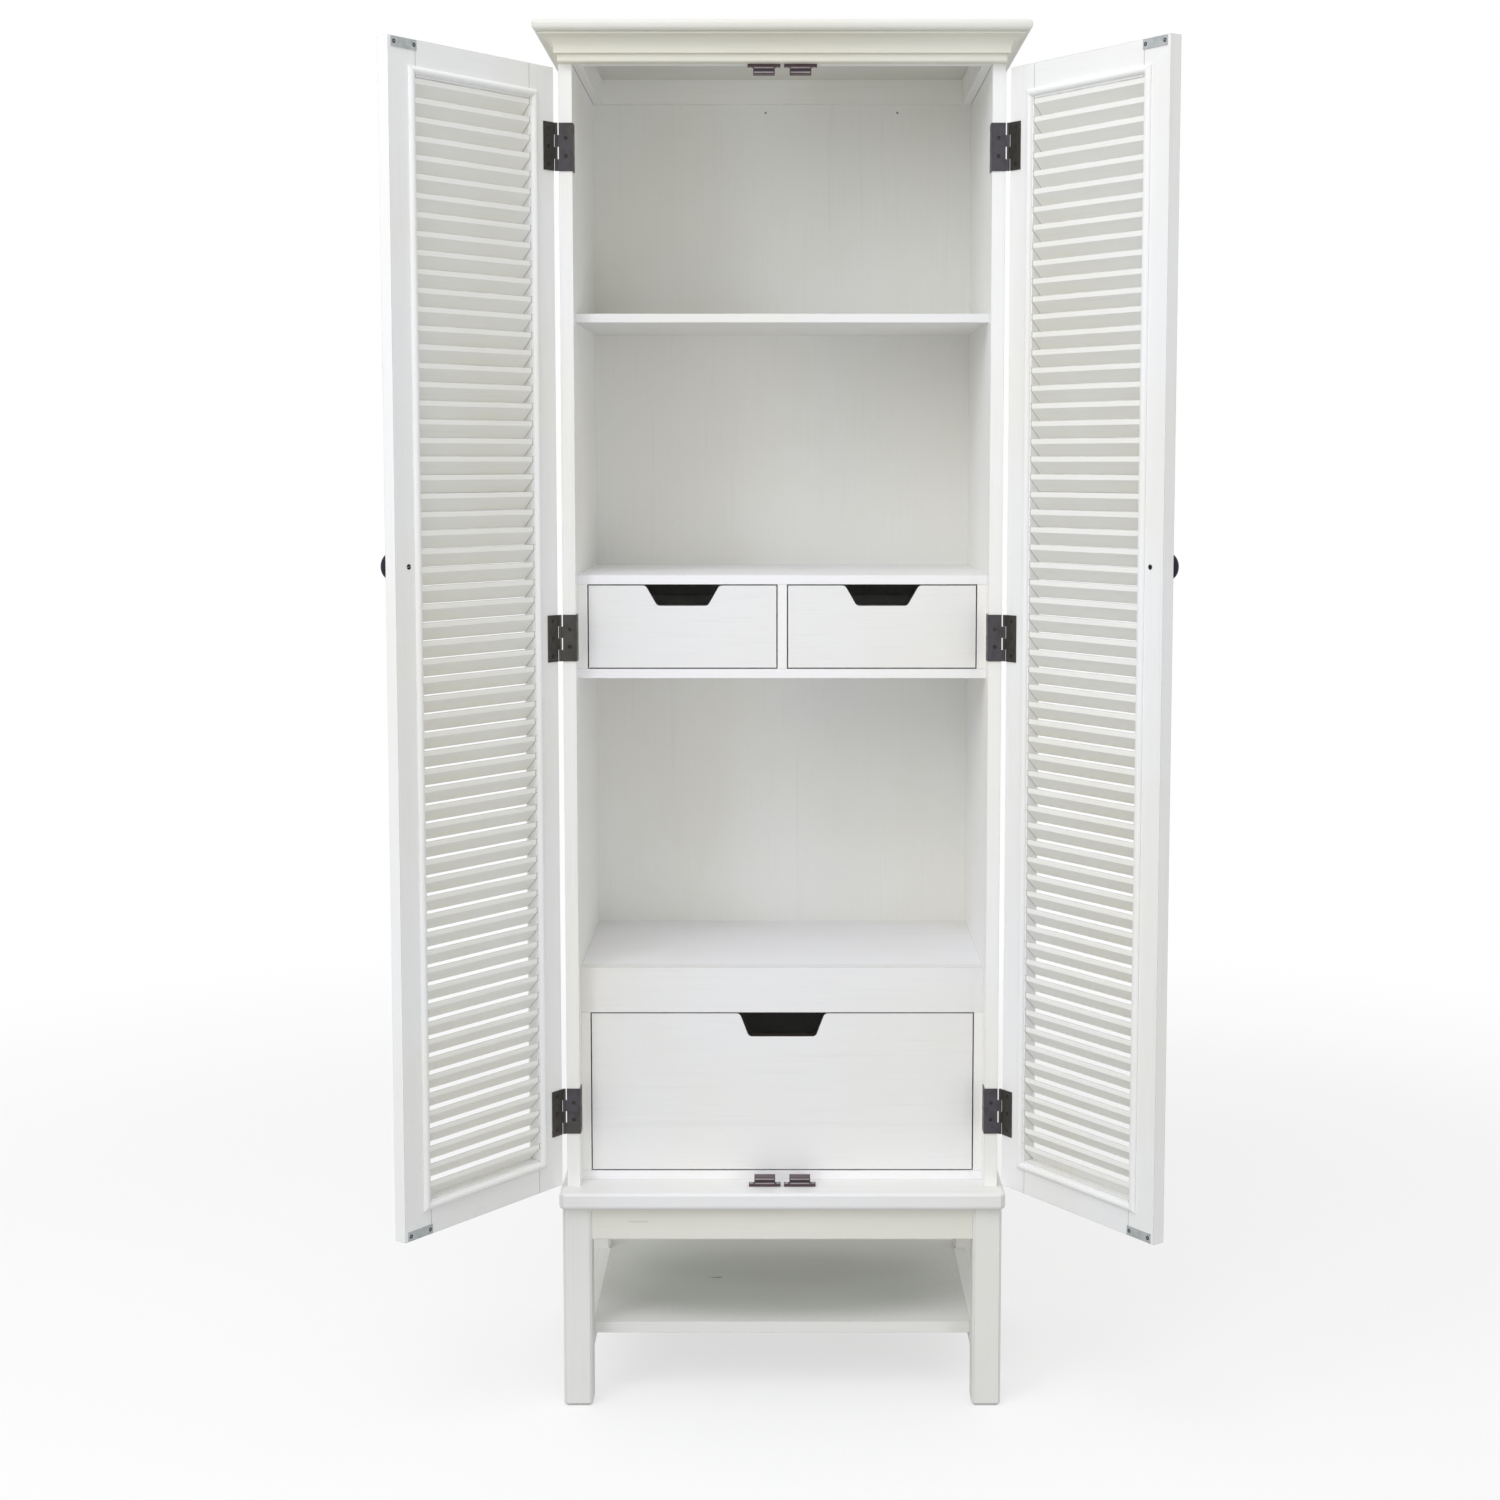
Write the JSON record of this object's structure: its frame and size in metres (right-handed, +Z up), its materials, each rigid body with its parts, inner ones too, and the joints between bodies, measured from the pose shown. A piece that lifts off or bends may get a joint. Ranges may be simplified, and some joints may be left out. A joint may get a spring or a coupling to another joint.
{
  "type": "louvred door cabinet",
  "caption": "Tall narrow cabinet on legs with louvred doors, a shelf and inner drawers behind them, an open shelf between the legs and a moulded crown.",
  "frame": {"origin": "bottom centre of the bounding box with the doors open: on the floor, about 56 mm behind the front face of the carcass, midway between its sides", "axes": "+Z up, -Y out of the front, +X to the right of someone who faces the front"},
  "size_m": [1.0117, 0.608, 1.9],
  "materials": {
    "painted_wood": "white satin paint, brushed, lightly rubbed at the edges",
    "dark_bronze": "dark bronze lacquer, satin",
    "zinc_steel": "zinc plated, dull",
    "catch_plastic": "moulded brown plastic"
  },
  "bodies": {
    "cabinet": {"apron_back": "painted_wood", "apron_front": "painted_wood", "back_panel": "painted_wood", "base_top": "painted_wood", "cabinet_hinge_leaves": "dark_bronze", "cap_board": "painted_wood", "catch_housings": "catch_plastic", "catch_magnets": "zinc_steel", "crown_backer": "painted_wood", "crown_front": "painted_wood", "crown_left": "painted_wood", "crown_right": "painted_wood", "fixed_shelf": "painted_wood", "leg_back_left": "painted_wood", "leg_back_right": "painted_wood", "leg_front_left": "painted_wood", "leg_front_right": "painted_wood", "lower_case_bottom": "painted_wood", "lower_case_fascia": "painted_wood", "lower_case_sides": "painted_wood", "lower_case_top": "painted_wood", "lower_shelf": "painted_wood", "shelf_rails": "painted_wood", "side_aprons": "painted_wood", "side_panel_left": "painted_wood", "side_panel_right": "painted_wood", "top_cleats": "painted_wood", "top_rail_back": "painted_wood", "top_rail_front": "painted_wood", "upper_case_bottom": "painted_wood", "upper_case_divider": "painted_wood", "upper_case_sides": "painted_wood", "upper_case_top": "painted_wood"},
    "door_left": {"door_left_bead": "painted_wood", "door_left_bottom_rail": "painted_wood", "door_left_fittings": "dark_bronze", "door_left_hinge_stile": "painted_wood", "door_left_lock_stile": "painted_wood", "door_left_slats": "painted_wood", "door_left_strikes": "zinc_steel", "door_left_top_rail": "painted_wood"},
    "door_right": {"door_right_bead": "painted_wood", "door_right_bottom_rail": "painted_wood", "door_right_fittings": "dark_bronze", "door_right_hinge_stile": "painted_wood", "door_right_lock_stile": "painted_wood", "door_right_slats": "painted_wood", "door_right_strikes": "zinc_steel", "door_right_top_rail": "painted_wood"},
    "drawer_left": {"drawer_left_box": "painted_wood", "drawer_left_front": "painted_wood"},
    "drawer_right": {"drawer_right_box": "painted_wood", "drawer_right_front": "painted_wood"},
    "drawer_large": {"drawer_large_box": "painted_wood", "drawer_large_front": "painted_wood"}
  },
  "joints": [
    {"name": "door_left_hinge", "type": "hinge", "parent": "cabinet", "child": "door_left", "pos_m": [-0.3035, -0.05706, 1.07825], "axis": [0, 0, -1], "range_deg": [-127, 53]},
    {"name": "door_right_hinge", "type": "hinge", "parent": "cabinet", "child": "door_right", "pos_m": [0.3035, -0.05706, 1.07825], "axis": [0, 0, 1], "range_deg": [-125, 55]},
    {"name": "drawer_left_slide", "type": "slide", "parent": "cabinet", "child": "drawer_left", "axis": [0, -1, 0], "range_m": [0, 0.24]},
    {"name": "drawer_right_slide", "type": "slide", "parent": "cabinet", "child": "drawer_right", "axis": [0, -1, 0], "range_m": [0, 0.24]},
    {"name": "drawer_large_slide", "type": "slide", "parent": "cabinet", "child": "drawer_large", "axis": [0, -1, 0], "range_m": [0, 0.24]}
  ]
}
